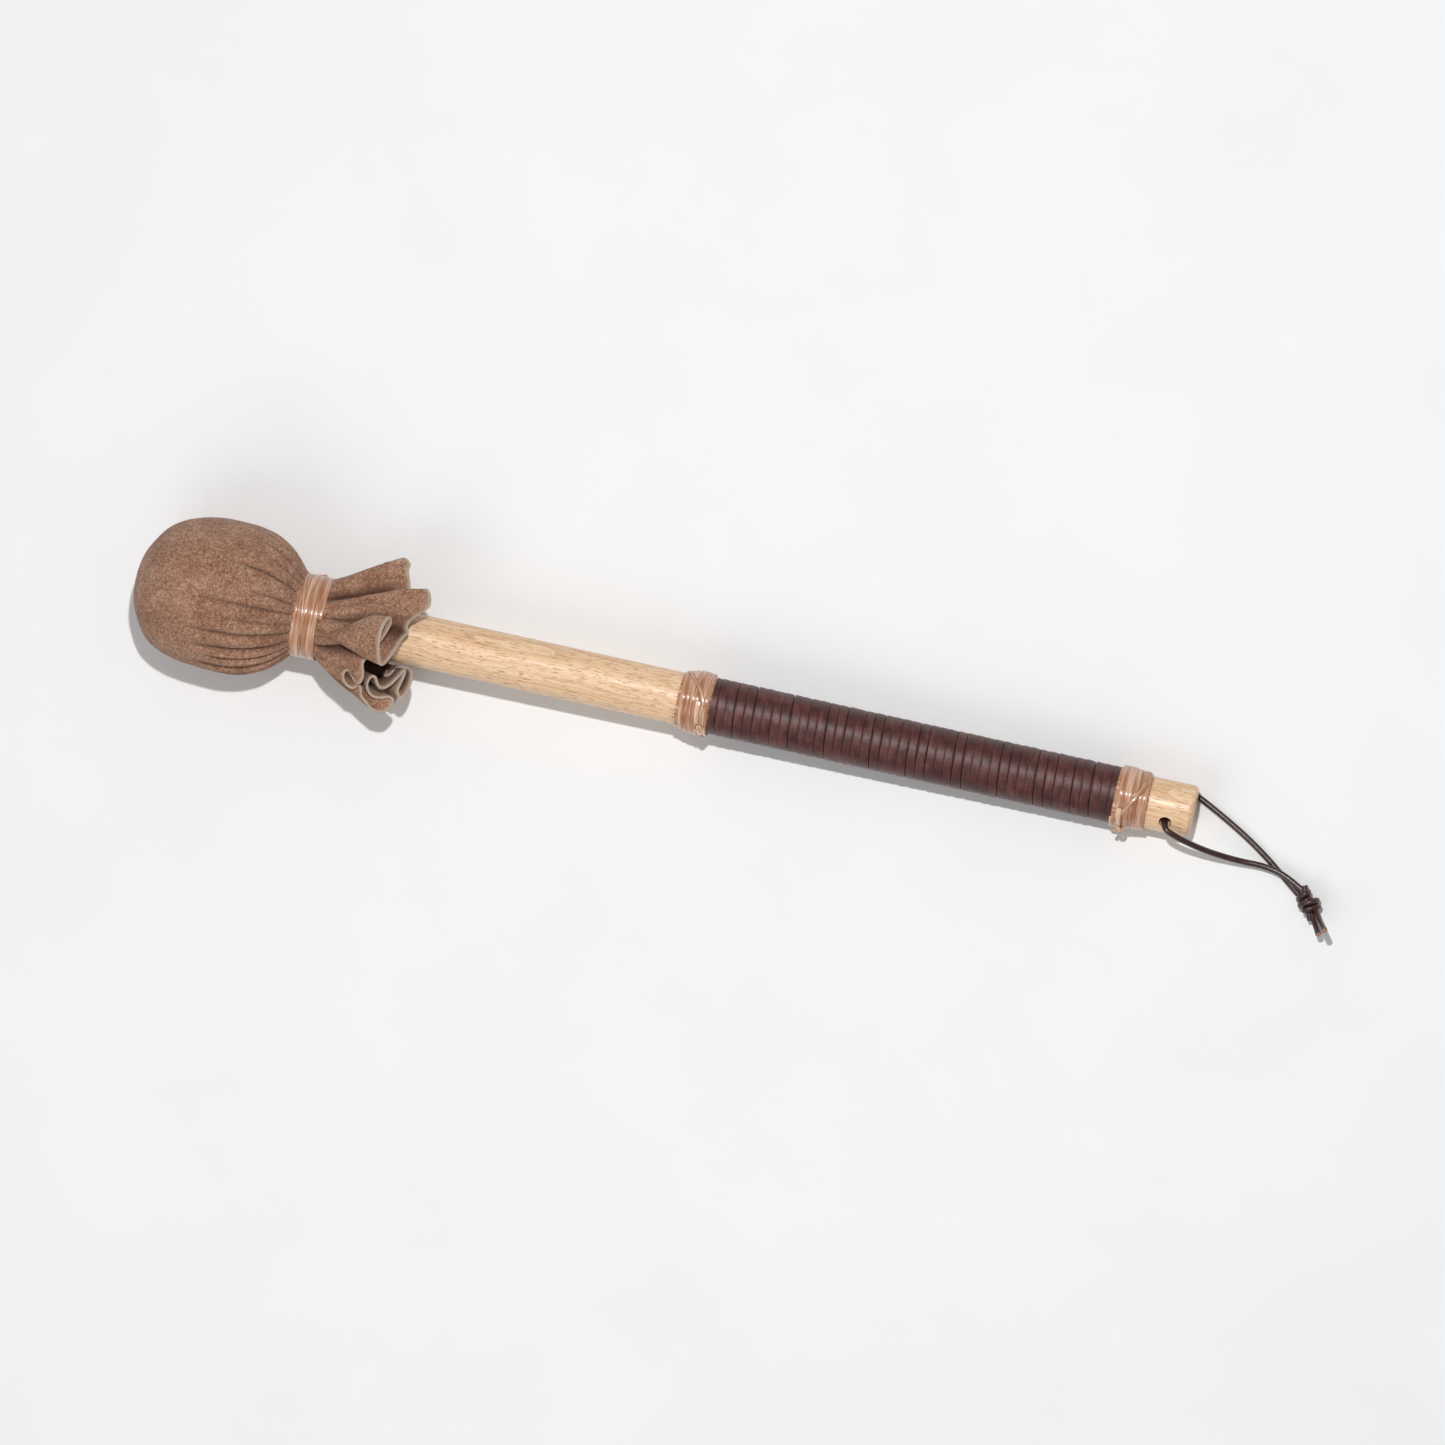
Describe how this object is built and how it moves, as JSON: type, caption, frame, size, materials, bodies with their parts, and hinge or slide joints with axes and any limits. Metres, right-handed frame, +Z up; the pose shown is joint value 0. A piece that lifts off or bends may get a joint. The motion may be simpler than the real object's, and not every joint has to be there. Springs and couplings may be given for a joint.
{
  "type": "padded beater",
  "caption": "Padded beater: round wooden stick with a suede-covered felt head, a gathered skirt, a leather-laced grip bound at both ends, and a knotted cord loop through the butt.",
  "frame": {"origin": "on the surface the beater lies on, below the middle of its length", "axes": "+X along the stick from the padded head to the butt, +Z up from the surface, +Y to the left seen from the head"},
  "size_m": [0.6033, 0.0827, 0.0731],
  "materials": {
    "oiled_oak": "satin",
    "wool_felt": "matte",
    "carded_wool": "matte",
    "waxed_twine": "matte",
    "brown_suede": "napped",
    "waxed_sinew": "translucent waxed",
    "dark_lace": "satin",
    "dark_cord": "gloss"
  },
  "bodies": {
    "stick": {"handle": "oiled_oak", "felt_core": "wool_felt", "end_pad": "wool_felt", "wool_padding": "carded_wool", "padding_tie": "waxed_twine", "suede_cover": "brown_suede", "neck_binding": "waxed_sinew", "neck_knot": "waxed_sinew", "front_binding": "waxed_sinew", "front_knot": "waxed_sinew", "front_strip": "waxed_sinew", "rear_binding": "waxed_sinew", "rear_knot": "waxed_sinew", "rear_strip": "waxed_sinew", "grip_lace": "dark_lace"},
    "loop": {"loop_strand_front": "dark_cord", "loop_strand_back": "dark_cord", "loop_knot": "dark_cord", "loop_tail_front": "dark_cord", "loop_tail_back": "dark_cord"}
  },
  "joints": [
    {"name": "loop_swing", "type": "hinge", "parent": "stick", "child": "loop", "pos_m": [0.25002, 0, 0.01423], "axis": [0.0358, -0.6225, 0.7818], "range_deg": [0, 110]}
  ]
}
